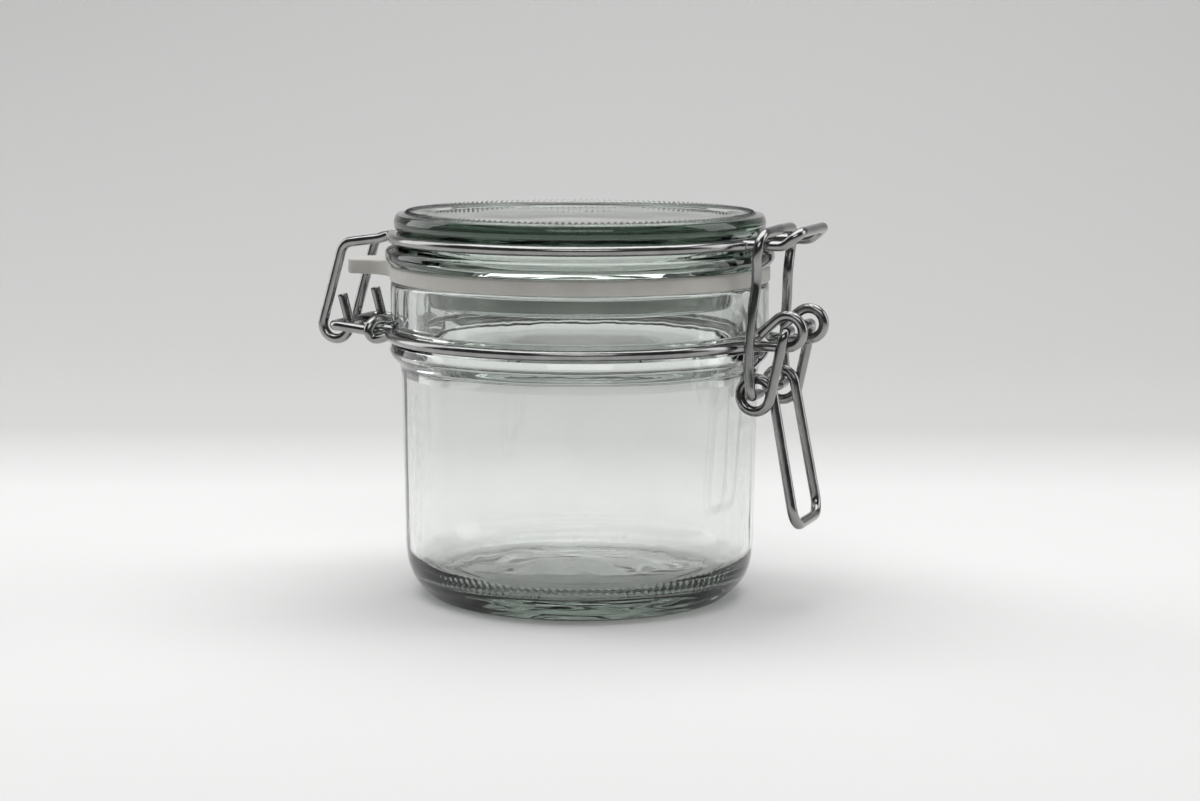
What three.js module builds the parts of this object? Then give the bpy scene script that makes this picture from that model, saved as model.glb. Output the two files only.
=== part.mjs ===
// Clip-top glass jar: a glass jar and lid, a rubber sealing ring and four bent wires.
// Millimetres, +Z up. The model is built about the jar's axis, with the hinge at -X and
// the clasp at +X, and the whole group is then centred over the middle of its own box.
import * as THREE from 'three';

// ---- driving dimensions -------------------------------------------------------------

const GAP = 0.3;                 // kept between pieces that touch on the real jar
const WIRE = 1.15;               // radius of every wire
const ROUND_SEGMENTS = 48;       // facets round the glass and the sealing ring
const WIRE_SIDES = 8;

const jarSize = {
  foot: 34.4, heel: 40, heelHeight: 11, heelRadius: 12.75,
  shoulder: 40.8, shoulderHeight: 51.4,
  bead: 43.5, beadBottom: 55.2, beadTop: 57.7,
  groove: 41.9, finish: 43.2, finishBottom: 61.9, rimTop: 72.4,
  bore: 37.3, floorEdge: 31, floorHeight: 5.5, floorRise: 2.6,
  bearing: 28.8, pushUpEdge: 1.4, pushUp: 3.8,
};

const ring = { inner: 38, outer: 43.4, thickness: 3, tabTip: 56, tabHalfWidth: 6.4 };
ring.bottom = jarSize.rimTop + GAP;
ring.top = ring.bottom + ring.thickness;

const lidSize = {
  bottom: ring.top + GAP, plug: 36.5, plugTaper: 34.6, plugBottom: 67.2,
  hollow: 32, hollowTop: 81.6,
  seat: 43.2, flange: 44.4, flangeHeight: 77.7, flangeTop: 80.6, groove: 41.5,
  rim: 42.45, rimHeight: 86, top: 88.3, topEdge: 39.5, dish: 34.5, dishDepth: 1.3,
};

const neckRing = { radius: 43.3, height: 59.85 };      // centre line of the neck wire's ring
const lidRing = { radius: 43, height: 82.2 };          // centre line of the lid wire's ring
const hinge = { x: -57, z: 60.8, legY: 12, hookY: 9.2, hookRadius: 3.4 };
const pivot = { x: 51.8, z: 63.35, eyeY: 9, eyeRadius: 3.5 };
const coil = { x: 45.1, z: 49.1, radius: 3.6, outerY: 11.6, innerY: 9.1 };
const nose = { y: 10.8, bendX: 51.2, tipX: 54.8, tipZ: 85.2 };
const handle = { endZ: 20, halfWidth: 9.9 };
const bailSize = { legY: 14.2, endY: 7.4, barX: 47.2, barZ: 85.1 };

const degrees = Math.PI / 180;
const vec = (x, y, z) => new THREE.Vector3(x, y, z);

// ---- materials ----------------------------------------------------------------------

const glass = new THREE.MeshStandardMaterial({ color: 0xdfe8e2, roughness: 0.05, metalness: 0 });
const lidGlass = new THREE.MeshStandardMaterial({ color: 0xcfdcd3, roughness: 0.05, metalness: 0 });
const steel = new THREE.MeshStandardMaterial({ color: 0xa9adac, roughness: 0.28, metalness: 1 });
const rubber = new THREE.MeshStandardMaterial({ color: 0xd6d2ca, roughness: 0.7, metalness: 0 });

// ---- turned glass -------------------------------------------------------------------

// Points of an arc in the (radius, height) plane, from one angle to another in degrees.
function arc(r, z, radius, from, to, steps) {
  const points = [];
  for (let i = 0; i <= steps; i += 1) {
    const a = (from + (to - from) * (i / steps)) * degrees;
    points.push(new THREE.Vector2(r + radius * Math.cos(a), z + radius * Math.sin(a)));
  }
  return points;
}

// A shallow dome from the axis out to `edge`, `rise` higher in the middle.
function dome(edge, height, rise, steps) {
  const points = [];
  for (let i = 0; i <= steps; i += 1) {
    const r = edge * (i / steps);
    points.push(new THREE.Vector2(r, height + rise * (1 + Math.cos(Math.PI * (i / steps))) / 2));
  }
  return points;
}

// Lathes turn about Y, so the turned solid is stood up along Z.
function turned(profile) {
  const geometry = new THREE.LatheGeometry(profile, ROUND_SEGMENTS);
  geometry.rotateX(90 * degrees);
  return geometry;
}

const at = (r, z) => new THREE.Vector2(r, z);

function jarGeometry() {
  const j = jarSize;
  const heelAngle = Math.asin(j.heelHeight / j.heelRadius) / degrees;
  const beadMiddle = (j.beadTop + j.beadBottom) / 2;
  const outside = [
    at(j.foot - 0.9, 0),
    ...arc(j.heel - j.heelRadius, j.heelHeight, j.heelRadius, -heelAngle + 4, 0, 5),
    at(j.shoulder, j.shoulderHeight), at(j.shoulder + 0.2, j.shoulderHeight + 1.2),
    at(j.bead - 0.5, j.beadBottom), at(j.bead, beadMiddle), at(j.bead - 0.4, j.beadTop),
    at(j.groove, j.beadTop + 0.8), at(j.groove, j.finishBottom - 0.9),
    at(j.finish, j.finishBottom),
    ...arc(j.finish - 0.8, j.rimTop - 0.8, 0.8, 0, 90, 2),
  ];
  const inside = [
    ...arc(j.bore + 1.1, j.rimTop - 1.1, 1.1, 90, 180, 3),
    ...arc(j.bore - 6, j.floorHeight + 6.4, 6, 0, -80, 4),
  ];
  const floor = dome(j.floorEdge - 3, j.floorHeight, j.floorRise, 4).reverse();
  const underside = dome(j.bearing - 1.2, j.pushUpEdge, j.pushUp - j.pushUpEdge, 4);
  return turned([...underside, at(j.bearing, 0), ...outside, ...inside, ...floor]);
}

function lidGeometry() {
  const l = lidSize;
  const hollow = dome(l.hollow - 2, l.hollowTop - 1.6, 1.6, 3);
  const rimArc = (l.rim - l.topEdge);
  return turned([
    ...hollow, at(l.hollow, l.hollowTop - 4), at(l.hollow, l.plugBottom + 0.6),
    at(l.hollow + 0.6, l.plugBottom), at(l.plugTaper - 0.8, l.plugBottom),
    at(l.plugTaper, l.plugBottom + 0.9), at(l.plug, jarSize.rimTop + 0.4),
    at(l.plug, l.bottom), at(l.seat - 0.4, l.bottom),
    at(l.seat, l.bottom + 0.4), at(l.flange - 0.25, l.flangeHeight - 0.9),
    at(l.flange, l.flangeHeight), at(l.flange - 0.5, l.flangeHeight + 1.6),
    at(l.groove + 0.5, l.flangeTop), at(l.groove, l.flangeTop + 0.7),
    at(l.groove, lidRing.height + 1.2), at(l.rim - 0.7, l.rimHeight - 1.9),
    at(l.rim, l.rimHeight - 0.5),
    ...arc(l.topEdge, l.top - 2.3, rimArc, 8, 90, 4).map((p) => at(p.x, Math.min(p.y, l.top))),
    at(l.topEdge - 1.6, l.top), at(l.dish, l.top - l.dishDepth), at(0, l.top - l.dishDepth),
  ]);
}

// ---- rubber -------------------------------------------------------------------------

function sealingRingGeometry() {
  const { outer, tabTip, tabHalfWidth } = ring;
  const rootY = 13;
  const rootAngle = Math.asin(rootY / outer);
  const corner = 2;
  const outline = new THREE.Shape();
  outline.absarc(0, 0, outer, -Math.PI + rootAngle, Math.PI - rootAngle, false);
  outline.quadraticCurveTo(-45.2, tabHalfWidth + 0.9, -49, tabHalfWidth);
  outline.lineTo(-tabTip + corner, tabHalfWidth - 0.3);
  outline.quadraticCurveTo(-tabTip, tabHalfWidth - 0.4, -tabTip, tabHalfWidth - corner - 0.4);
  outline.lineTo(-tabTip, -tabHalfWidth + corner + 0.4);
  outline.quadraticCurveTo(-tabTip, -tabHalfWidth + 0.4, -tabTip + corner, -tabHalfWidth + 0.3);
  outline.lineTo(-49, -tabHalfWidth);
  outline.quadraticCurveTo(-45.2, -tabHalfWidth - 0.9, -Math.cos(rootAngle) * outer, -rootY);
  const hole = new THREE.Path();
  hole.absarc(0, 0, ring.inner, 0, 2 * Math.PI, true);
  outline.holes.push(hole);
  const flat = { depth: ring.thickness, bevelEnabled: false, curveSegments: ROUND_SEGMENTS / 2 };
  return new THREE.ExtrudeGeometry(outline, flat).translate(0, 0, ring.bottom);
}

// ---- bent wire ----------------------------------------------------------------------

// The centre line of a wire, as the stations where its section stands.
class WireLine extends THREE.Curve {
  constructor(stations) {
    super();
    this.stations = stations;
    this.steps = stations.length - 1;
  }

  getUtoTmapping(u) { return u; }

  getPoint(t, target = new THREE.Vector3()) {
    const i = Math.min(Math.floor(t * this.steps + 1e-9), this.steps - 1);
    return target.lerpVectors(this.stations[i], this.stations[i + 1], t * this.steps - i);
  }

  getTangent(t, target = new THREE.Vector3()) {
    const i = Math.round(t * this.steps);
    const here = this.stations[i];
    const before = this.stations[i - 1] ?? here;
    const after = this.stations[i + 1] ?? here;
    const arriving = here.clone().sub(before).normalize();
    return target.copy(after).sub(here).normalize().add(arriving).normalize();
  }
}

function wireGeometry(stations) {
  const section = new THREE.Shape();
  for (let i = 0; i < WIRE_SIDES; i += 1) {
    const a = 2 * Math.PI * (i / WIRE_SIDES);
    const [x, y] = [WIRE * Math.cos(a), WIRE * Math.sin(a)];
    if (i) section.lineTo(x, y); else section.moveTo(x, y);
  }
  section.closePath();
  const line = new WireLine(stations);
  return new THREE.ExtrudeGeometry(section, { steps: line.steps, extrudePath: line, curveSegments: 1 });
}

// Corners as [x, y, z, bend radius]; each corner with a radius becomes a round bend.
function bent(corners) {
  const places = corners.map(([x, y, z]) => vec(x, y, z));
  const stations = [];
  corners.forEach(([, , , radius], i) => {
    const here = places[i];
    if (!radius) { stations.push(here); return; }
    const back = places[i - 1].clone().sub(here).normalize();
    const on = places[i + 1].clone().sub(here).normalize();
    const turn = Math.PI - back.angleTo(on);
    const reach = radius * Math.tan(turn / 2);
    const middle = back.clone().add(on).normalize();
    const centre = here.clone().addScaledVector(middle, Math.hypot(radius, reach));
    const start = here.clone().addScaledVector(back, reach).sub(centre);
    const axis = back.clone().cross(on).normalize().negate();
    const steps = Math.max(2, Math.ceil(turn / (24 * degrees)));
    for (let k = 0; k <= steps; k += 1) {
      stations.push(start.clone().applyAxisAngle(axis, turn * (k / steps)).add(centre));
    }
  });
  return stations;
}

// Part of a level ring about the jar's axis, from one angle to another in degrees.
function levelArc({ radius, height }, from, to) {
  const steps = Math.round(Math.abs(to - from) / 7.5);
  return Array.from({ length: steps + 1 }, (_, i) => {
    const a = (from + (to - from) * (i / steps)) * degrees;
    return vec(radius * Math.cos(a), radius * Math.sin(a), height);
  });
}

// Part of a turn in the XZ plane about (x, z), while y goes from one value to another.
function uprightArc(x, z, radius, from, to, fromY, toY) {
  const steps = Math.ceil(Math.abs(to - from) / 24);
  return Array.from({ length: steps + 1 }, (_, i) => {
    const a = (from + (to - from) * (i / steps)) * degrees;
    const y = fromY + (toY - fromY) * (i / steps);
    return vec(x + radius * Math.cos(a), y, z + radius * Math.sin(a));
  });
}

// The same wire seen from the other side: the front half's stations mirrored in Y.
const mirrored = (stations) => stations.map((p) => vec(p.x, -p.y, p.z)).reverse();
const smooth = (points, perSpan) =>
  new THREE.CatmullRomCurve3(points, false, 'centripetal').getPoints((points.length - 1) * perSpan);

// Half of the neck wire, on the -Y side: an open eye for the lever, half the ring, a wrap
// over the other half's leg, the crossing behind the neck, and the leg out to the hinge bar.
function neckWireHalf(rise) {
  const z = neckRing.height;
  const up = (h) => z + rise * h;
  const eye = uprightArc(pivot.x, pivot.z, pivot.eyeRadius, 132, -90, -pivot.eyeY, -pivot.eyeY);
  const toRing = bent([
    [pivot.x, -pivot.eyeY, z], [43, -pivot.eyeY, z, 2.4], [41.2, -13.3, z],
  ]).slice(1, -1);
  const wrap = smooth([
    vec(-40.15, -16.2, z), vec(-42.8, -14.9, up(-1.1)), vec(-45.3, -14.3, up(-1.4)),
    vec(-46.4, -14.7, up(0.1)), vec(-46, -13.8, up(2)), vec(-45.3, -12, up(2.7)),
    vec(-44.8, -9, up(2.4)), vec(-44.8, -5, up(1.75)), vec(-44.8, 0, up(1.35)),
    vec(-44.8, 5, up(1.05)), vec(-44.9, 8.2, up(0.5)),
  ], 2);
  const leg = bent([
    [-44.9, 8.2, up(0.5)], [-45, hinge.legY, up(0.1), 2.6], [hinge.x, hinge.legY, hinge.z],
  ]).slice(1, -1);
  return [
    vec(45.4, -pivot.eyeY, 62.3), ...eye, ...toRing, ...levelArc(neckRing, -21, -151),
    ...wrap, ...leg,
  ];
}

function neckWireGeometry() {
  const front = neckWireHalf(1);
  const rear = mirrored(neckWireHalf(-1));
  const bar = bent([
    [-50, hinge.legY, hinge.z], [hinge.x, hinge.legY, hinge.z, 2.2],
    [hinge.x, -hinge.legY, hinge.z, 2.2], [-50, -hinge.legY, hinge.z],
  ]).slice(1, -1);
  return wireGeometry([...front, ...bar, ...rear]);
}

// Half of the lid wire: stub, hook round the hinge bar, arm, half the ring and nose leg.
function lidWireHalf() {
  const { x, z, hookY, hookRadius } = hinge;
  const ringZ = lidRing.height;
  const hook = uprightArc(x, z, hookRadius, 14.7, -196.1, -hookY, -hookY);
  const arm = bent([
    [-60.27, -hookY, 61.74], [-55.05, -hookY, 79.9, 3], [-45.6, -hookY, 81.2, 5],
    [-42.7, -hookY, ringZ, 1.6], [-40.5, -14.1, ringZ],
  ]).slice(1, -1);
  const toNose = bent([
    [40.9, -13.6, ringZ], [42.2, -nose.y, ringZ, 1.4], [nose.bendX, -nose.y, ringZ, 2.5],
    [nose.tipX, -nose.y, nose.tipZ, 2.4], [nose.tipX, 0, nose.tipZ],
  ]).slice(1);
  const stub = vec(-55.38, -hookY, 68);
  return [stub, ...hook, ...arm, ...levelArc(lidRing, -160.5, -19.5), ...toNose];
}

function lidWireGeometry() {
  const front = lidWireHalf();
  return wireGeometry([...front, ...mirrored(front).slice(1)]);
}

// Half of the lever: the end in the neck wire's eye, the arm, one coil and a handle leg.
function leverHalf() {
  const { outerY, innerY, radius } = coil;
  const armAngle = -12;
  const legAngle = 10.8;
  const slope = Math.tan(legAngle * degrees);
  const legX = coil.x + radius * Math.cos(legAngle * degrees);
  const legZ = coil.z + radius * Math.sin(legAngle * degrees);
  const endX = legX + (legZ - handle.endZ) * slope;
  const armEnd = uprightArc(coil.x, coil.z, radius, armAngle, armAngle - 1, -outerY, -outerY)[0];
  const arm = bent([
    [pivot.x, -6.6, pivot.z], [pivot.x, -outerY, pivot.z, 1.7], armEnd.toArray(),
  ]).slice(0, -1);
  const turn = uprightArc(coil.x, coil.z, radius, armAngle, legAngle - 360, -outerY, -innerY);
  const leg = bent([
    [legX, -innerY, legZ], [endX, -handle.halfWidth, handle.endZ, 4], [endX, 0, handle.endZ],
  ]).slice(1);
  return [...arm, ...turn, ...leg];
}

function leverGeometry() {
  const front = leverHalf();
  return wireGeometry([...front, ...mirrored(front).slice(1)]);
}

// Half of the bail: the end in the lever's coil, the kinked springy leg and the crossbar.
function bailHalf() {
  const { legY, endY, barX, barZ } = bailSize;
  const foot = bent([[coil.x, -endY, coil.z], [coil.x, -legY, coil.z, 1.7], [44.5, -legY, 55.5]]);
  const leg = smooth([
    vec(44.5, -legY, 55.5), vec(44.6, -legY, 60), vec(45.2, -13.8, 68), vec(45.7, -12.7, 74.6),
    vec(45.9, -13.9, 79.6),
  ], 2);
  const top = bent([
    [45.9, -13.9, 79.6], [barX - 0.4, -13.9, barZ - 0.3, 4.1], [barX, 0, barZ],
  ]).slice(1);
  return [...foot.slice(0, -1), ...leg, ...top];
}

function bailGeometry() {
  const front = bailHalf();
  return wireGeometry([...front, ...mirrored(front).slice(1)]);
}

// ---- assembly -----------------------------------------------------------------------

function piece(name, geometry, material) {
  const mesh = new THREE.Mesh(geometry, material);
  mesh.name = name;
  return mesh;
}

const canister = new THREE.Group();
canister.add(
  piece('jar', jarGeometry(), glass),
  piece('lid', lidGeometry(), lidGlass),
  piece('sealing_ring', sealingRingGeometry(), rubber),
  piece('lid_wire', lidWireGeometry(), steel),
  piece('neck_wire', neckWireGeometry(), steel),
  piece('lever', leverGeometry(), steel),
  piece('bail', bailGeometry(), steel),
);

const box = new THREE.Box3().setFromObject(canister);
canister.position.x = -(box.min.x + box.max.x) / 2;

export default canister;
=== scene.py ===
"""Clip-top glass jar: pressed glass, a rubber sealing ring and four bent steel wires.

Lengths in this script are millimetres about the jar's own axis; each piece is put into
the shared frame, in metres, as it is made.
"""

import math

import bpy
from mathutils import Matrix, Vector, noise


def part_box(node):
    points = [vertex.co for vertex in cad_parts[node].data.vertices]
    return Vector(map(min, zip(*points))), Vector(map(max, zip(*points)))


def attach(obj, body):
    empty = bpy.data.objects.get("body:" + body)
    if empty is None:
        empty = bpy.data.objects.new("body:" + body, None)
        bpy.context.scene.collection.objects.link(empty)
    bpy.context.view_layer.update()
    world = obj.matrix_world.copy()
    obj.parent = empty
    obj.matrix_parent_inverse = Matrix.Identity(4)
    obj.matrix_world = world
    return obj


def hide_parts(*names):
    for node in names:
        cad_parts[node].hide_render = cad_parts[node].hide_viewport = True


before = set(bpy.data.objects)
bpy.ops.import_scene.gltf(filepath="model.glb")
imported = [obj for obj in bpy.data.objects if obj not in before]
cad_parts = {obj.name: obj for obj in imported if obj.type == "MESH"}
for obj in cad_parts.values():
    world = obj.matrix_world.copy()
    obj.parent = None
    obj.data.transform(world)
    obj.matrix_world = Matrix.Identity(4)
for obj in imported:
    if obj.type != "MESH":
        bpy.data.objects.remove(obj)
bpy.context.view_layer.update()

MM = 0.001
jar_low, jar_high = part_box("jar")
AXIS_X = (jar_low[0] + jar_high[0]) / 2

WIRE = 1.15                      # radius of every wire
WIRE_SIDES = 24
WIRE_STEP = 0.45                 # between two sections of a wire
SHEAR = 0.12                     # length of a cut wire end's rounded edge
ARC_STEP = 6                     # degrees between two points of a bend
PROFILE_STEP = 1.6               # the longest facet down a turned profile
PROFILE_TURN = 9                 # degrees between two points of a profile's rounding
JAR_SIDES = 264                  # facets round the jar; the knurled foot has twice as many
LID_SIDES = 354                  # facets round the lid; its beaded edge has twice as many
KNURL_MARKS = 132                # slanted marks round the jar's foot and its inside corner
EDGE_BEADS = 177                 # small beads round the lid's top edge
LID_TOP = 88.3
BEAD_RING = {"radius": 39.3, "half_width": 0.65, "height": 0.6}

HINGE = {"x": -57, "z": 60.8, "leg_y": 12, "hook_y": 9.2, "hook_radius": 3.4}
PIVOT = {"x": 51.8, "z": 63.35, "eye_y": 9, "eye_radius": 3.5}
COIL = {"x": 45.1, "z": 49.1, "radius": 3.6, "outer_y": 11.6, "inner_y": 9.1}
NOSE = {"y": 10.8, "bend_x": 51.2, "tip_x": 54.8, "tip_z": 85.2}
HANDLE = {"end_z": 20, "half_width": 9.9}
BAIL = {"leg_y": 14.2, "end_y": 7.4, "bar_x": 47.2, "bar_z": 85.1}
NECK_RING = {"radius": 43.3, "z": 59.85}
LID_RING = {"radius": 43, "z": 82.2}
SEAL = {"inner": 38, "outer": 43.4, "bottom": 72.5, "top": 75.9,
        "tab_tip": 56, "tab_half": 6.4, "root_y": 13, "rounding": 0.45}

SWEEP = {"turn": 19.6, "start": 0.42, "bend": 0.6, "rise": 1.3}        # degrees, then metres
CAMERA = {"lens": 81.8, "azimuth": 20, "distance": 0.6215, "height": 0.1287,
          "yaw": 19.57, "pitch": 82.28, "roll": 0.003}


# ---- lines in space ------------------------------------------------------------------

def turn_points(centre, arm, axis, angle):
    """Points of an arc: arm, turned about axis through angle (radians), around centre."""
    steps = max(2, math.ceil(abs(math.degrees(angle)) / ARC_STEP))
    return [centre + Matrix.Rotation(angle * k / steps, 3, axis) @ arm for k in range(steps + 1)]


def bent(corners):
    """A bent wire's line from corners (x, y, z, bend radius); radius 0 leaves a plain point."""
    places = [Vector(corner[:3]) for corner in corners]
    line = []
    for i, here in enumerate(places):
        radius = corners[i][3] if len(corners[i]) > 3 else 0
        if not radius:
            line.append(here)
            continue
        back = (places[i - 1] - here).normalized()
        on = (places[i + 1] - here).normalized()
        turn = math.pi - back.angle(on)
        reach = radius * math.tan(turn / 2)
        centre = here + (back + on).normalized() * math.hypot(radius, reach)
        line += turn_points(centre, here + back * reach - centre, -back.cross(on).normalized(), turn)
    return line


def level_arc(ring, start, end):
    """Part of a level ring about the jar's axis, between two angles in degrees."""
    steps = round(abs(end - start) / 2.5)
    angles = [math.radians(start + (end - start) * k / steps) for k in range(steps + 1)]
    return [Vector((ring["radius"] * math.cos(a), ring["radius"] * math.sin(a), ring["z"]))
            for a in angles]


def upright_arc(x, z, radius, start, end, start_y, end_y):
    """Part of a turn in the XZ plane about (x, z), while y goes from one value to another."""
    steps = math.ceil(abs(end - start) / ARC_STEP)
    line = []
    for k in range(steps + 1):
        a = math.radians(start + (end - start) * k / steps)
        line.append(Vector((x + radius * math.cos(a), start_y + (end_y - start_y) * k / steps,
                            z + radius * math.sin(a))))
    return line


def smooth(places, per_span=8):
    """A centripetal curve through places, as a hand-bent wire runs."""
    points = [Vector(place) for place in places]
    points = [points[0] * 2 - points[1], *points, points[-1] * 2 - points[-2]]
    line = []
    for p0, p1, p2, p3 in zip(points, points[1:], points[2:], points[3:]):
        knots = [0.0]
        for a, b in ((p0, p1), (p1, p2), (p2, p3)):
            knots.append(knots[-1] + math.sqrt((b - a).length))
        t0, t1, t2, t3 = knots
        for k in range(per_span):
            t = t1 + (t2 - t1) * k / per_span
            a1 = p0.lerp(p1, (t - t0) / (t1 - t0))
            a2 = p1.lerp(p2, (t - t1) / (t2 - t1))
            a3 = p2.lerp(p3, (t - t2) / (t3 - t2))
            b1 = a1.lerp(a2, (t - t0) / (t2 - t0))
            b2 = a2.lerp(a3, (t - t1) / (t3 - t1))
            line.append(b1.lerp(b2, (t - t1) / (t2 - t1)))
    return line + [points[-2]]


def other_half(line):
    """The same wire on the far side of the clasp's middle plane, run backwards."""
    return [Vector((p.x, -p.y, p.z)) for p in reversed(line)]


# ---- the four wires' lines -----------------------------------------------------------

def neck_wire_half(rise):
    """An eye for the lever, half the ring, the wrap and crossing behind, and a hinge leg."""
    z = NECK_RING["z"]

    def up(height):
        return z + rise * height

    eye_y = PIVOT["eye_y"]
    eye = upright_arc(PIVOT["x"], PIVOT["z"], PIVOT["eye_radius"], 132, -90, -eye_y, -eye_y)
    to_ring = bent([(PIVOT["x"], -eye_y, z), (43, -eye_y, z, 2.4), (41.2, -13.3, z)])[1:-1]
    wrap = smooth([
        (-40.15, -16.2, z), (-42.8, -14.9, up(-1.1)), (-45.3, -14.3, up(-1.4)),
        (-46.4, -14.7, up(0.1)), (-46, -13.8, up(2)), (-45.3, -12, up(2.7)),
        (-44.8, -9, up(2.4)), (-44.8, -5, up(1.75)), (-44.8, 0, up(1.35)),
        (-44.8, 5, up(1.05)), (-44.9, 8.2, up(0.5))])
    leg = bent([(-44.9, 8.2, up(0.5)), (-45, HINGE["leg_y"], up(0.1), 2.6),
                (HINGE["x"], HINGE["leg_y"], HINGE["z"])])[1:-1]
    return [Vector((45.4, -eye_y, 62.3)), *eye, *to_ring, *level_arc(NECK_RING, -21, -151),
            *wrap, *leg]


def neck_wire_line():
    x, y, z = HINGE["x"], HINGE["leg_y"], HINGE["z"]
    bar = bent([(-50, y, z), (x, y, z, 2.2), (x, -y, z, 2.2), (-50, -y, z)])[1:-1]
    return [*neck_wire_half(1), *bar, *other_half(neck_wire_half(-1))]


def lid_wire_line():
    """Stub, hook round the hinge bar, arm, half the ring and nose leg, then mirrored."""
    y, z, nose_y = HINGE["hook_y"], LID_RING["z"], NOSE["y"]
    hook = upright_arc(HINGE["x"], HINGE["z"], HINGE["hook_radius"], 14.7, -196.1, -y, -y)
    arm = bent([(-60.27, -y, 61.74), (-55.05, -y, 79.9, 3), (-45.6, -y, 81.2, 5),
                (-42.7, -y, z, 1.6), (-40.5, -14.1, z)])[1:-1]
    to_nose = bent([(40.9, -13.6, z), (42.2, -nose_y, z, 1.4), (NOSE["bend_x"], -nose_y, z, 2.5),
                    (NOSE["tip_x"], -nose_y, NOSE["tip_z"], 2.4),
                    (NOSE["tip_x"], 0, NOSE["tip_z"])])[1:]
    half = [Vector((-55.38, -y, 68)), *hook, *arm, *level_arc(LID_RING, -160.5, -19.5), *to_nose]
    return half + other_half(half)[1:]


def lever_line():
    """The end in the neck wire's eye, the arm, one coil and a handle leg, then mirrored."""
    arm_angle, leg_angle = -12, 10.8
    x, z, radius, outer_y = COIL["x"], COIL["z"], COIL["radius"], COIL["outer_y"]
    lean = math.radians(leg_angle)
    leg_x, leg_z = x + radius * math.cos(lean), z + radius * math.sin(lean)
    end_x = leg_x + (leg_z - HANDLE["end_z"]) * math.tan(lean)
    turn = upright_arc(x, z, radius, arm_angle, leg_angle - 360, -outer_y, -COIL["inner_y"])
    arm = bent([(PIVOT["x"], -6.6, PIVOT["z"]), (PIVOT["x"], -outer_y, PIVOT["z"], 1.7),
                tuple(turn[0])])[:-1]
    leg = bent([(leg_x, -COIL["inner_y"], leg_z),
                (end_x, -HANDLE["half_width"], HANDLE["end_z"], 4), (end_x, 0, HANDLE["end_z"])])[1:]
    half = [*arm, *turn, *leg]
    return half + other_half(half)[1:]


def bail_line():
    """The end in the lever's coil, the kinked springy leg and the crossbar, then mirrored."""
    y = BAIL["leg_y"]
    foot = bent([(COIL["x"], -BAIL["end_y"], COIL["z"]), (COIL["x"], -y, COIL["z"], 1.7),
                 (44.5, -y, 55.5)])
    leg = smooth([(44.5, -y, 55.5), (44.6, -y, 60), (45.2, -13.8, 68), (45.7, -12.7, 74.6),
                  (45.9, -13.9, 79.6)])
    top = bent([(45.9, -13.9, 79.6), (BAIL["bar_x"] - 0.4, -13.9, BAIL["bar_z"] - 0.3, 4.1),
                (BAIL["bar_x"], 0, BAIL["bar_z"])])[1:]
    half = [*foot[:-1], *leg, *top]
    return half + other_half(half)[1:]


# ---- meshes --------------------------------------------------------------------------

def finished_object(name, points, faces):
    """Makes the object from millimetre points about the jar's axis, shaded smooth."""
    mesh = bpy.data.meshes.new(name)
    mesh.from_pydata([(AXIS_X + x * MM, y * MM, z * MM) for x, y, z in points], [], faces)
    mesh.polygons.foreach_set("use_smooth", [True] * len(mesh.polygons))
    mesh.update()
    made = bpy.data.objects.new(name, mesh)
    bpy.context.collection.objects.link(made)
    return made


def evenly_spaced(line, gap):
    """The same line with its points about gap apart, so that the tube's sections are even."""
    spaced, left = [line[0]], gap
    for a, b in zip(line, line[1:]):
        length = (b - a).length
        done = 0.0
        while length - done > left:
            done += left
            spaced.append(a.lerp(b, done / length))
            left = gap
        left -= length - done
    if (spaced[-1] - line[-1]).length < gap * 0.4:
        spaced.pop()
    return spaced + [line[-1]]


def rounded_off(line, rounds):
    """The line with each point eased towards its neighbours' middle, its ends kept."""
    for _ in range(rounds):
        middle = [p * 0.5 + (a + b) * 0.25 for a, p, b in zip(line, line[1:], line[2:])]
        line = [line[0], *middle, line[-1]]
    return line


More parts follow.
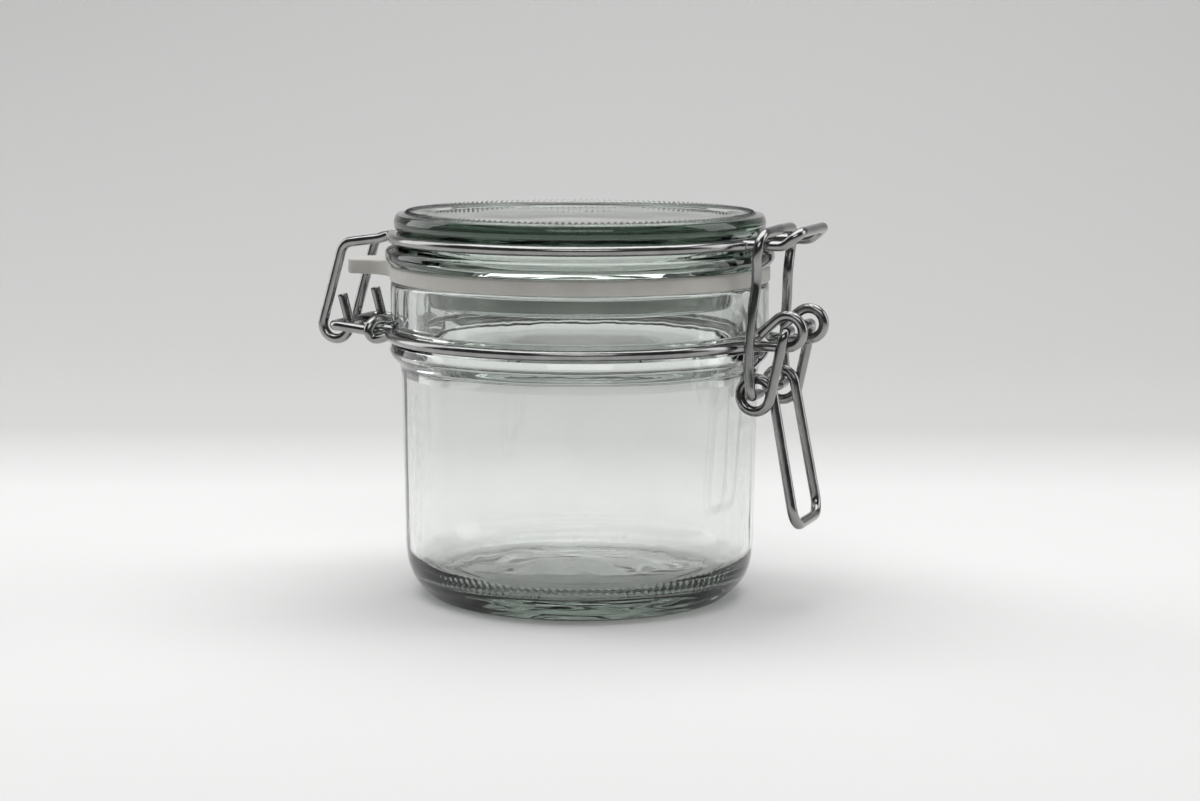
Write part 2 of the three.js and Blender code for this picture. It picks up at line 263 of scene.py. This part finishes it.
def wire_object(name, line):
    """A round wire along the line, with sheared and slightly burred ends."""
    line = rounded_off(evenly_spaced([Vector(p) for p in line], WIRE_STEP), 2)
    tangents = [(line[min(i + 1, len(line) - 1)] - line[max(i - 1, 0)]).normalized()
                for i in range(len(line))]
    across = tangents[0].orthogonal().normalized()
    points, faces = [], []

    def section(centre, tangent, side, radius):
        other = tangent.cross(side)
        for k in range(WIRE_SIDES):
            a = 2 * math.pi * k / WIRE_SIDES
            points.append(centre + (side * math.cos(a) + other * math.sin(a)) * radius)

    last = len(line) - 1
    for i, (centre, tangent) in enumerate(zip(line, tangents)):
        across = (across - tangent * across.dot(tangent)).normalized()
        if i == 0:
            section(centre, tangent, across, WIRE * 0.72)
            section(centre + tangent * SHEAR, tangent, across, WIRE * 0.97)
        elif i == last:
            section(centre - tangent * SHEAR, tangent, across, WIRE * 0.97)
            section(centre, tangent, across, WIRE * 0.72)
        else:
            section(centre, tangent, across, WIRE)
    rings = len(points) // WIRE_SIDES
    for r in range(rings - 1):
        for k in range(WIRE_SIDES):
            on = (k + 1) % WIRE_SIDES
            a, b = r * WIRE_SIDES, (r + 1) * WIRE_SIDES
            faces.append((a + k, a + on, b + on, b + k))
    for end, start, turn in ((0, line[0], -1), (rings - 1, line[-1], 1)):
        points.append(start + tangents[0 if end == 0 else -1] * 0.05 * turn)
        tip = len(points) - 1
        for k in range(WIRE_SIDES):
            a, b = end * WIRE_SIDES + k, end * WIRE_SIDES + (k + 1) % WIRE_SIDES
            faces.append((b, a, tip) if end == 0 else (a, b, tip))
    made = finished_object(name, points, faces)
    layer = made.data.uv_layers.new(name="along_wire")
    runs = [0.0]
    for a, b in zip(line, line[1:]):
        runs.append(runs[-1] + (b - a).length * MM)
    runs = [0.0, *runs, runs[-1]]
    for polygon in made.data.polygons:
        sides = [made.data.loops[i].vertex_index % WIRE_SIDES for i in polygon.loop_indices]
        wraps = max(sides) == WIRE_SIDES - 1 and min(sides) == 0
        for i, side in zip(polygon.loop_indices, sides):
            ring = min(made.data.loops[i].vertex_index // WIRE_SIDES, rings - 1)
            turn = 1.0 if wraps and side == 0 else side / WIRE_SIDES
            layer.data[i].uv = (turn, runs[min(ring, len(runs) - 1)])
    return made


def rounded_profile(corners):
    """Corners (radius, height, rounding) as a fine line with its roundings drawn in."""
    places = [Vector(corner[:2]) for corner in corners]
    line = []
    for i, here in enumerate(places):
        rounding = corners[i][2] if len(corners[i]) > 2 else 0
        if not rounding:
            line.append(here)
            continue
        back = (places[i - 1] - here).normalized()
        on = (places[i + 1] - here).normalized()
        turn = math.pi - math.acos(max(-1.0, min(1.0, back.dot(on))))
        reach = rounding * math.tan(turn / 2)
        way = math.copysign(1, on.x * back.y - on.y * back.x)
        centre = here + (back + on).normalized() * math.hypot(rounding, reach)
        start = here + back * reach - centre
        steps = max(2, math.ceil(math.degrees(turn) / PROFILE_TURN))
        for k in range(steps + 1):
            a = way * turn * k / steps
            line.append(centre + Vector((start.x * math.cos(a) - start.y * math.sin(a),
                                         start.x * math.sin(a) + start.y * math.cos(a))))
    fine = [line[0]]
    for a, b in zip(line, line[1:]):
        pieces = math.ceil((b - a).length / PROFILE_STEP)
        fine += [a.lerp(b, k / pieces) for k in range(1, pieces + 1)]
    return fine


def turned_object(name, profile, sides_at, moved):
    """Turns a profile that starts and ends on the axis. sides_at(r, z) says how many facets a
    row has, and moved(r, z, angle, row) gives the pressed surface's own radius and height."""
    points, rows = [], []
    for row, (r, z) in enumerate(profile):
        if r < 1e-6:
            rows.append((len(points), 1))
            points.append(Vector((0, 0, moved(0, z, 0, row)[1])))
            continue
        sides = sides_at(r, z)
        rows.append((len(points), sides))
        for k in range(sides):
            a = 2 * math.pi * k / sides
            radius, height = moved(r, z, a, row)
            points.append(Vector((radius * math.cos(a), radius * math.sin(a), height)))
    faces = []
    for (a0, a_sides), (b0, b_sides) in zip(rows, rows[1:]):
        fine, coarse = max(a_sides, b_sides), min(a_sides, b_sides)
        ratio = fine // coarse
        for k in range(fine):
            on = (k + 1) % fine
            if coarse == 1:
                faces.append((a0, b0 + on, b0 + k) if a_sides == 1 else (a0 + k, a0 + on, b0))
            elif ratio == 1:
                faces.append((a0 + k, a0 + on, b0 + on, b0 + k))
            else:
                # the fine row's facets fan out from the coarse row's nearest corner
                near = ((k + ratio // 2) // ratio) % coarse
                after = ((k + 1 + ratio // 2) // ratio) % coarse
                if a_sides < b_sides:
                    faces.append((a0 + near, b0 + on, b0 + k) if near == after
                                 else (a0 + near, a0 + after, b0 + on, b0 + k))
                else:
                    faces.append((a0 + k, a0 + on, b0 + near) if near == after
                                 else (a0 + k, a0 + on, b0 + after, b0 + near))
    return finished_object(name, points, faces)


def ripple(r, z, angle, size, across=1.0, seed=0.0):
    """Smooth unevenness of pressed glass, -1 to 1, about size millimetres across."""
    place = Vector((r * math.cos(angle) / size, r * math.sin(angle) / size,
                    z * across / size + seed))
    return noise.noise(place)


def eased(value, low, high):
    """0 below low, 1 above high, and a smooth step between."""
    t = max(0.0, min(1.0, (value - low) / (high - low)))
    return t * t * (3 - 2 * t)


def window(value, low, high, soft):
    """1 between low and high, easing to 0 over soft on both sides."""
    return eased(value, low - soft, low) * (1 - eased(value, high, high + soft))


def jar_profile():
    """From the middle of the underside, up the outside, over the rim and down the inside."""
    push_up = [(26 * k / 9, 1.5 + 2.3 * (1 + math.cos(math.pi * k / 9)) / 2) for k in range(10)]
    foot = [(27.6, 1.4, 0.8), (28.8, 0, 0.4), (33.5, 0, 0.6), (34.4, 0.45, 1)]
    heel = [(36.2, 2.0, 3), (38.2, 4.3, 6), (39.6, 7.7, 9), (40.1, 12, 12)]
    shoulder = [(40.8, 51.0, 2), (41.2, 53.4, 2), (43.1, 55.5, 1.1), (43.5, 56.6, 0.9)]
    wire_groove = [(43.0, 58.1, 0.5), (41.9, 58.7, 0.4), (41.9, 61.0, 0.5), (43.2, 61.9, 0.7)]
    rim = [(43.2, 72.4, 0.9), (37.3, 72.4, 1.3)]
    inside = [(37.3, 5.6, 6.2), (30, 5.5, 1.2)]
    floor = [(26 * k / 9, 5.6 + 2.5 * (1 + math.cos(math.pi * k / 9)) / 2)
             for k in range(9, -1, -1)]
    return rounded_profile([*push_up, *foot, *heel, *shoulder, *wire_groove, *rim, *inside, *floor])


def jar_sides_at(r, z):
    if r < 9:
        return JAR_SIDES // 4
    foot = 28.5 < r < 33 and z < 1
    corner = 31.5 < r < 37.2 and 5.5 < z < 9.5
    return JAR_SIDES * 2 if foot or corner else JAR_SIDES


def jar_inside(r, z, angle):
    """Draw lines down the wall, an uneven heel and bed, and marks in the corner between them."""
    wall = eased(z, 9, 16) * (1 - 0.8 * eased(z, 50, 56)) * (1 - eased(z, 68, 71))
    streak = ripple(r, z, angle, 7, 0.12, 3.1) + 0.5 * ripple(r, z, angle, 3.2, 0.06, 8)
    rings = math.sin(2 * math.pi * z / 3.1) * window(z, 43, 51, 3)
    heel = window(z, 5, 13, 3) * eased(r, 24, 32)
    marks = math.cos(angle * KNURL_MARKS + r * 2.2) * window(r, 34.3, 35.7, 0.8) * (z < 9.5)
    bed = (1 - eased(r, 26, 33)) * (1 - eased(z, 9, 14))
    lumps = ripple(r, 0, angle, 15, 1, 1.7) + 0.5 * ripple(r, 0, angle, 6.5, 1, 5.2)
    r += wall * (0.16 * streak + 0.07 * rings) + heel * 0.16 * ripple(r, z, angle, 16, 4, 2.4)
    return r, z + bed * 0.4 * lumps + 0.15 * marks


def jar_outside(r, z, angle):
    """Knurl pressed into the foot ring, and a slightly uneven underside, heel and wall."""
    knurl = window(r, 29.6, 31.8, 0.5) * (1 - eased(z, 0.8, 1.6))
    if knurl:
        slant = angle * KNURL_MARKS + (r - 30.7) * 1.6
        z += knurl * 0.55 * (0.5 + 0.5 * math.cos(slant))
    bed = (1 - eased(r, 22, 27)) * (1 - eased(z, 5, 6))
    z += bed * 0.35 * ripple(r, 0, angle, 13, 1, 9.3)
    wall = window(z, 8, 50, 4)
    heel = window(z, 1.5, 8, 2)
    r += wall * 0.05 * ripple(r, z, angle, 16, 0.3, 6.6) + heel * 0.07 * ripple(r, z, angle, 16, 6, 4)
    return min(r, 43.5), max(z, 0.0)


def jar_object():
    profile = jar_profile()
    turn_row = max(range(len(profile)), key=lambda row: profile[row].y)

    def moved(r, z, angle, row):
        return jar_inside(r, z, angle) if row > turn_row else jar_outside(r, z, angle)

    return turned_object("glass_jar", profile, jar_sides_at, moved)


def lid_profile():
    """From the middle of the hollow underside, out over the plug and rim to the top's middle."""
    hollow = [(29 * k / 8, 80.3 + 1.3 * (1 + math.cos(math.pi * k / 8)) / 2) for k in range(9)]
    plug = [(32, 79.9, 2.4), (32, 67.2, 1.1), (34.7, 67.2, 1.1), (36.5, 72.8, 2), (36.5, 76, 0.4)]
    flange = [(43.3, 76, 0.9), (44.4, 77.6, 1.5), (44.3, 79.5, 1.3), (42.2, 80.5, 0.9)]
    wire_groove = [(41.5, 81.1, 0.4), (41.5, 83.3, 0.5), (42.3, 84.6, 0.9), (42.47, 86.2, 2.2)]
    beads = [(r, LID_TOP) for r in (39.85, 39.65, 39.45, 39.3, 39.15, 38.95, 38.75)]
    top = [(37.7, LID_TOP, 0.8), (35.2, 87.15, 2.2), (20, 87), (0, 87)]
    return rounded_profile([*hollow, *plug, *flange, *wire_groove, (41.4, LID_TOP, 2), *beads, *top])


def lid_sides_at(r, z):
    if r < 9:
        return LID_SIDES // 6
    return LID_SIDES * 2 if 37.6 < r < 40.8 and z > 87.6 else LID_SIDES


def lid_object():
    profile = lid_profile()
    crest_row = max(range(len(profile)), key=lambda row: profile[row].y)

    def moved(r, z, angle, row):
        if z > 87.2:
            off = (r - BEAD_RING["radius"]) / BEAD_RING["half_width"]
            bead = (0.5 + 0.5 * math.cos(angle * EDGE_BEADS)) * max(0, 1 - off ** 2)
            z -= eased(z, 87.4, 88.15) * BEAD_RING["height"] * (1 - bead)
        top = row > crest_row and r < 36
        if top:
            z += 0.12 * (1 - eased(r, 30, 36)) * ripple(r, 0, angle, 17, 1, 3.3)
        elif z > 79.5 and r < 32:
            z += 0.22 * ripple(r, 0, angle, 12, 1, 7.7)
        seat = window(r, 37.5, 43, 0.8) * (1 - eased(z, 76.3, 77))
        flange = window(z, 76.5, 80.2, 0.6) * eased(r, 42.5, 43.5)
        r_shift = flange * 0.08 * ripple(r, z, angle, 9, 1.5, 2)
        z += seat * (0.1 * ripple(r, 0, angle, 10, 1, 6.1) + 0.06)
        plug = window(z, 69, 78.5, 1) * window(r, 31, 33, 0.4)
        r_shift += plug * 0.05 * ripple(r, z, angle, 12, 0.5, 1.2)
        return min(r + r_shift, 44.4), min(z, LID_TOP)

    return turned_object("glass_lid", profile, lid_sides_at, moved)


def seal_outline():
    """The sealing ring's outer edge as (x, y) places about 1 mm apart, tab included."""
    outer, tip, half, root_y = SEAL["outer"], SEAL["tab_tip"], SEAL["tab_half"], SEAL["root_y"]
    root = math.asin(root_y / outer)
    steps = 220
    edge = [Vector((outer * math.cos(a), outer * math.sin(a))) for a in
            (-math.pi + root + (2 * math.pi - 2 * root) * k / steps for k in range(steps + 1))]

    def curve(start, pull, end, count=10):
        start, pull, end = Vector(start), Vector(pull), Vector(end)
        return [start * (1 - t) ** 2 + pull * 2 * t * (1 - t) + end * t * t
                for t in (k / count for k in range(1, count + 1))]

    side = curve(edge[-1], (-45.2, half + 0.9), (-49, half))
    side += [Vector((-49, half)).lerp(Vector((2 - tip, half - 0.3)), k / 5) for k in range(1, 6)]
    side += curve((2 - tip, half - 0.3), (-tip, half - 0.4), (-tip, half - 2.4), 6)
    end = [Vector((-tip, y)) for y in (3.0, 2.0, 1.0)]
    back = [Vector((p.x, -p.y)) for p in reversed(side)]
    return edge + side + end + [Vector((-tip, 0))] + [Vector((p.x, -p.y)) for p in reversed(end)] \
        + back


def seal_object():
    """A flat moulded ring with a pull tab: softly rounded edges and a slightly uneven skin."""
    outline = seal_outline()
    count = len(outline)
    rounding = SEAL["rounding"]
    points, faces = [], []
    for i, place in enumerate(outline):
        before, after = outline[i - 1], outline[(i + 1) % count]
        along = (after - before).normalized()
        out = Vector((along.y, -along.x))
        # the ring's inner edge lies at the same turn, squeezed towards the tab's root
        turn = math.atan2(place.y, place.x)
        if place.x < 0 and abs(place.y) < SEAL["root_y"]:
            turn = math.copysign(math.pi - math.asin(SEAL["root_y"] / SEAL["outer"])
                                 * abs(place.y) / SEAL["root_y"], place.y)
        inward = Vector((math.cos(turn), math.sin(turn)))
        inner = inward * SEAL["inner"]
        edges = [(place, out, SEAL["bottom"], 1), (place, out, SEAL["top"], -1),
                 (inner, -inward, SEAL["top"], -1), (inner, -inward, SEAL["bottom"], 1)]
        row = []
        for n, (edge, way, height, rise) in enumerate(edges):
            for k in range(4):
                a = math.radians(30 * k)
                lean, lift = (math.sin(a), math.cos(a)) if n in (0, 2) else (math.cos(a), math.sin(a))
                flat = edge - way * rounding * (1 - lean)
                row.append((flat.x, flat.y, height + rise * rounding * (1 - lift)))
            if n in (0, 2):
                continue
            far_edge, far_way = edges[(n + 1) % 4][:2]
            for t in (0.25, 0.5, 0.75):                  # across the flat, for its unevenness
                flat = (edge - way * rounding).lerp(far_edge - far_way * rounding, t)
                row.append((flat.x, flat.y, height))
        for x, y, z in row:
            uneven = noise.noise(Vector((x / 11, y / 11, z / 30)))
            points.append((x, y, z + 0.05 * uneven * (1 if z > 74 else -1) - (0.05 if z > 75 else 0)))
    per_row = len(points) // count
    for i in range(count):
        on = (i + 1) % count
        for k in range(per_row):
            up = (k + 1) % per_row
            faces.append((i * per_row + k, on * per_row + k, on * per_row + up, i * per_row + up))
    return finished_object("rubber_sealing_ring", points, faces)


# ---- finishes ------------------------------------------------------------------------

class Value:
    """A shader socket that takes part in Python sums; each sum adds its Math node."""

    def __init__(self, finish, socket):
        self.finish, self.socket = finish, socket

    def sum(self, operation, first, second):
        return self.finish.node("Math", {"operation": operation}, {0: first, 1: second})

    def __add__(self, other):
        return self.sum("ADD", self, other)

    def __radd__(self, other):
        return self.sum("ADD", other, self)

    def __mul__(self, other):
        return self.sum("MULTIPLY", self, other)

    def __rmul__(self, other):
        return self.sum("MULTIPLY", other, self)


class Finish:
    """One procedural material. Every node in it is made by node()."""

    def __init__(self, name):
        self.material = bpy.data.materials.new(name)
        self.material.use_nodes = True
        self.tree = self.material.node_tree
        self.tree.nodes.clear()

    def node(self, kind, settings=None, values=None, output=0):
        """Makes a node: its settings first, then its sockets' numbers or links."""
        made = self.tree.nodes.new("ShaderNode" + kind)
        for key, setting in (settings or {}).items():
            if key == "stops":
                ramp = made.color_ramp.elements
                while len(ramp) < len(setting):
                    ramp.new(1)
                for stop, (place, colour) in zip(ramp, setting):
                    stop.position, stop.color = place, (*colour, 1)
            else:
                setattr(made, key, setting)
        for key, value in (values or {}).items():
            if isinstance(value, Value):
                self.tree.links.new(value.socket, made.inputs[key])
            else:
                made.inputs[key].default_value = value
        return Value(self, made.outputs[output]) if len(made.outputs) else None

    def place(self):
        """Where a point is on the piece, in metres, as the piece moves."""
        return self.node("TexCoord", output=3)

    def grain(self, place, size_mm, detail=2.0, stretch=(1, 1, 1)):
        """Noise, 0 to 1, with lumps about size_mm across."""
        scaled = self.node("VectorMath", {"operation": "MULTIPLY"}, {0: place, 1: stretch})
        return self.node("TexNoise", {}, {"Vector": scaled, "Scale": 1 / (size_mm * MM),
                                          "Detail": detail})

    def bumped(self, height, depth_mm):
        """The surface direction over a height of 0 to 1, depth_mm deep."""
        return self.node("Bump", {}, {"Strength": 1.0, "Distance": depth_mm * MM, "Height": height})

    def finished(self, surface, volume=None):
        links = {"Surface": surface}
        if volume:
            links["Volume"] = volume
        self.node("OutputMaterial", {}, links)
        return self.material


def pressed_glass(name, depth_colour, density):
    """Clear pressed glass, faintly rippled, grey-green through its thickness."""
    glass = Finish(name)
    place = glass.place()
    orange_peel = glass.grain(place, 9, 1.5) + 0.25 * glass.grain(place, 2.6, 1.0)
    tarnish = glass.grain(place, 22, 3.0)
    surface = glass.node("BsdfPrincipled", {}, {
        "Base Color": glass.node("ValToRGB", {"stops": [
            (0.35, (0.965, 0.975, 0.968)), (0.65, (0.99, 0.995, 0.992))]}, {0: tarnish}),
        "Roughness": 0.012 * tarnish,
        "IOR": 1.51,
        "Transmission Weight": 1.0,
        "Normal": glass.bumped(orange_peel, 0.035)})
    volume = glass.node("VolumeAbsorption", {}, {"Color": depth_colour, "Density": density})
    return glass.finished(surface, volume)


def drawn_steel(name, tone, streak_depth):
    """Bright drawn wire: fine lines along its length, a little dulled and handled."""
    steel = Finish(name)
    place = steel.place()
    along = steel.node("UVMap", {"uv_map": "along_wire"})
    lines = steel.grain(along, 1000, 4.0, (34, 420, 1))
    blotch = steel.grain(place, 4.5, 3.0)
    speck = steel.grain(place, 0.7, 2.0)
    worn = steel.node("ValToRGB", {"stops": [(0.3, (0, 0, 0)), (0.72, (1, 1, 1))]}, {0: blotch})
    dark, bright = [(c * tone, c * tone, c * tone * 0.99, 1) for c in (0.19, 0.43)]
    colour = steel.node("Mix", {"data_type": "RGBA"}, {0: 0.35 + 0.45 * worn + 0.2 * lines,
                                                       6: dark, 7: bright}, output=2)
    surface = steel.node("BsdfPrincipled", {}, {
        "Base Color": colour,
        "Metallic": 1.0,
        "Roughness": 0.1 + 0.08 * worn + 0.07 * lines + 0.03 * speck,
        "Normal": steel.bumped(lines + 0.3 * speck, streak_depth)})
    return steel.finished(surface)


def moulded_rubber(name):
    """Off-white sealing rubber: matt, faintly mottled, with a fine moulded grain."""
    rubber = Finish(name)
    place = rubber.place()
    mottle = rubber.grain(place, 7, 4.0)
    grain = rubber.grain(place, 0.45, 2.0)
    dust = rubber.grain(place, 1.6, 3.0)
    colour = rubber.node("ValToRGB", {"stops": [
        (0.25, (0.50, 0.485, 0.45)), (0.55, (0.56, 0.545, 0.51)), (0.8, (0.60, 0.585, 0.55))]},
        {0: mottle})
    surface = rubber.node("BsdfPrincipled", {}, {
        "Base Color": colour,
        "Roughness": 0.5 + 0.16 * mottle + 0.1 * dust,
        "Specular IOR Level": 0.35,
        "Sheen Weight": 0.06,
        "Normal": rubber.bumped(0.6 * grain + 0.4 * dust, 0.06)})
    return rubber.finished(surface)


def studio_paper(name):
    """Pale, matt studio paper with the faintest tooth, graded to grey towards its far end by painted
    shade that stands in for the light falling off.
    """
    paper = Finish(name)
    place = paper.place()
    tooth = paper.grain(place, 0.9, 3.0)
    turn = math.radians(SWEEP["turn"])
    far = paper.node("VectorMath", {"operation": "DOT_PRODUCT"},
                     {0: place, 1: (-math.sin(turn), math.cos(turn), 0)}, output=1)
    # painted shade: the paper's colour greys from about 0.14 m to 0.26 m towards its far end,
    # standing in for the overhead light's falloff on the far floor and backdrop
    painted_falloff_shade = paper.node("ValToRGB", {"stops": [
        (0.0, (0.81, 0.81, 0.805)), (0.14, (0.79, 0.79, 0.785)), (0.26, (0.60, 0.60, 0.595)),
        (0.75, (0.63, 0.63, 0.625))]}, {0: far})
    colour = paper.node("Mix", {"data_type": "RGBA", "blend_type": "MULTIPLY"},
                        {0: 0.06 * tooth, 6: painted_falloff_shade, 7: (0.7, 0.7, 0.7, 1)}, output=2)
    surface = paper.node("BsdfPrincipled", {}, {
        "Base Color": colour, "Roughness": 0.72, "Specular IOR Level": 0.25,
        "Normal": paper.bumped(tooth, 0.03)})
    return paper.finished(surface)


# ---- the object ----------------------------------------------------------------------

def fitted(made, node, body, finish):
    """Puts a finished piece in place of its CAD node."""
    made.data.materials.append(finish)
    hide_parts(node)
    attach(made, body)


jar_glass = pressed_glass("clear_jar_glass", (0.27, 0.37, 0.30, 1), 23)
lid_glass = pressed_glass("clear_lid_glass", (0.26, 0.39, 0.30, 1), 38)
ring_steel = drawn_steel("drawn_steel_wire", 0.92, 0.012)
clasp_steel = drawn_steel("bent_clasp_wire", 0.84, 0.016)
rubber = moulded_rubber("off_white_rubber")

fitted(jar_object(), "jar", "root", jar_glass)
fitted(lid_object(), "lid", "lid", lid_glass)
fitted(seal_object(), "sealing_ring", "lid", rubber)
fitted(wire_object("lid_wire_and_nose", lid_wire_line()), "lid_wire", "lid", ring_steel)
fitted(wire_object("neck_wire_and_hinge", neck_wire_line()), "neck_wire", "root", ring_steel)
fitted(wire_object("clasp_lever_wire", lever_line()), "lever", "lever", clasp_steel)
fitted(wire_object("clasp_bail_wire", bail_line()), "bail", "bail", clasp_steel)


# ---- studio --------------------------------------------------------------------------

def paper_sweep():
    """A paper floor that curves up into a backdrop, wide enough for every side view."""
    start, bend, rise = SWEEP["start"], SWEEP["bend"], SWEEP["rise"]
    line = [Vector((start - 0.1 * k, 0)) for k in range(24, -1, -1)]
    line += [Vector((start + bend * math.sin(a), bend * (1 - math.cos(a))))
             for a in (math.radians(90 * k / 24) for k in range(1, 25))]
    line += [Vector((start + bend, bend + rise * k / 6)) for k in range(1, 7)]
    turn = Matrix.Rotation(math.radians(SWEEP["turn"]), 2)
    points, faces = [], []
    widths = [-2.4 + 0.2 * k for k in range(25)]
    for place in line:
        for width in widths:
            flat = turn @ Vector((width, place.x))
            points.append((flat.x / MM, flat.y / MM, place.y / MM - 0.03))
    across = len(widths)
    for i in range(len(line) - 1):
        for k in range(across - 1):
            a = i * across + k
            faces.append((a, a + 1, a + across + 1, a + across))
    sweep = finished_object("paper_sweep", points, faces)
    sweep.data.materials.append(studio_paper("pale_studio_paper"))


def softbox(name, place, aim, size, power):
    """A flat soft light at place, turned towards aim."""
    lamp = bpy.data.lights.new(name, "AREA")
    lamp.shape, lamp.size, lamp.size_y = "RECTANGLE", size[0], size[1]
    lamp.energy = power
    made = bpy.data.objects.new(name, lamp)
    bpy.context.collection.objects.link(made)
    made.location = place
    made.rotation_euler = (Vector(aim) - Vector(place)).to_track_quat("-Z", "Y").to_euler()


def studio_air():
    """Dim grey surroundings."""
    world = bpy.data.worlds.new("studio")
    bpy.context.scene.world = world
    world.use_nodes = True
    background = world.node_tree.nodes["Background"]
    background.inputs["Color"].default_value = (0.32, 0.325, 0.33, 1)
    background.inputs["Strength"].default_value = 0.15


def camera():
    """A long lens, a little above the jar, looking along its clasp's near side."""
    lens = bpy.data.cameras.new("camera")
    lens.lens, lens.sensor_width = CAMERA["lens"], 36
    made = bpy.data.objects.new("camera", lens)
    bpy.context.collection.objects.link(made)
    azimuth, distance = math.radians(CAMERA["azimuth"]), CAMERA["distance"]
    stand = Matrix.Translation((AXIS_X + distance * math.sin(azimuth),
                                -distance * math.cos(azimuth), CAMERA["height"]))
    yaw = Matrix.Rotation(math.radians(CAMERA["yaw"]), 4, "Z")
    pitch = Matrix.Rotation(math.radians(CAMERA["pitch"]), 4, "X")
    roll = Matrix.Rotation(CAMERA["roll"], 4, "Z")
    made.matrix_world = stand @ yaw @ pitch @ roll
    bpy.context.scene.camera = made
    bpy.context.scene.view_settings.view_transform = "Standard"


paper_sweep()
softbox("overhead_softbox", (-0.05, 0.1, 0.85), (0, 0.05, 0), (1.2, 0.9), 9.2)
softbox("front_softbox", (0.45, -1.2, 0.95), (0, 0, 0.04), (1.0, 0.5), 3.2)
softbox("left_softbox", (-0.85, 0.1, 0.4), (0, 0, 0.03), (0.5, 0.8), 2.4)
softbox("right_softbox", (0.85, 0.4, 0.4), (0, 0, 0.03), (0.5, 0.8), 2.4)
studio_air()
camera()
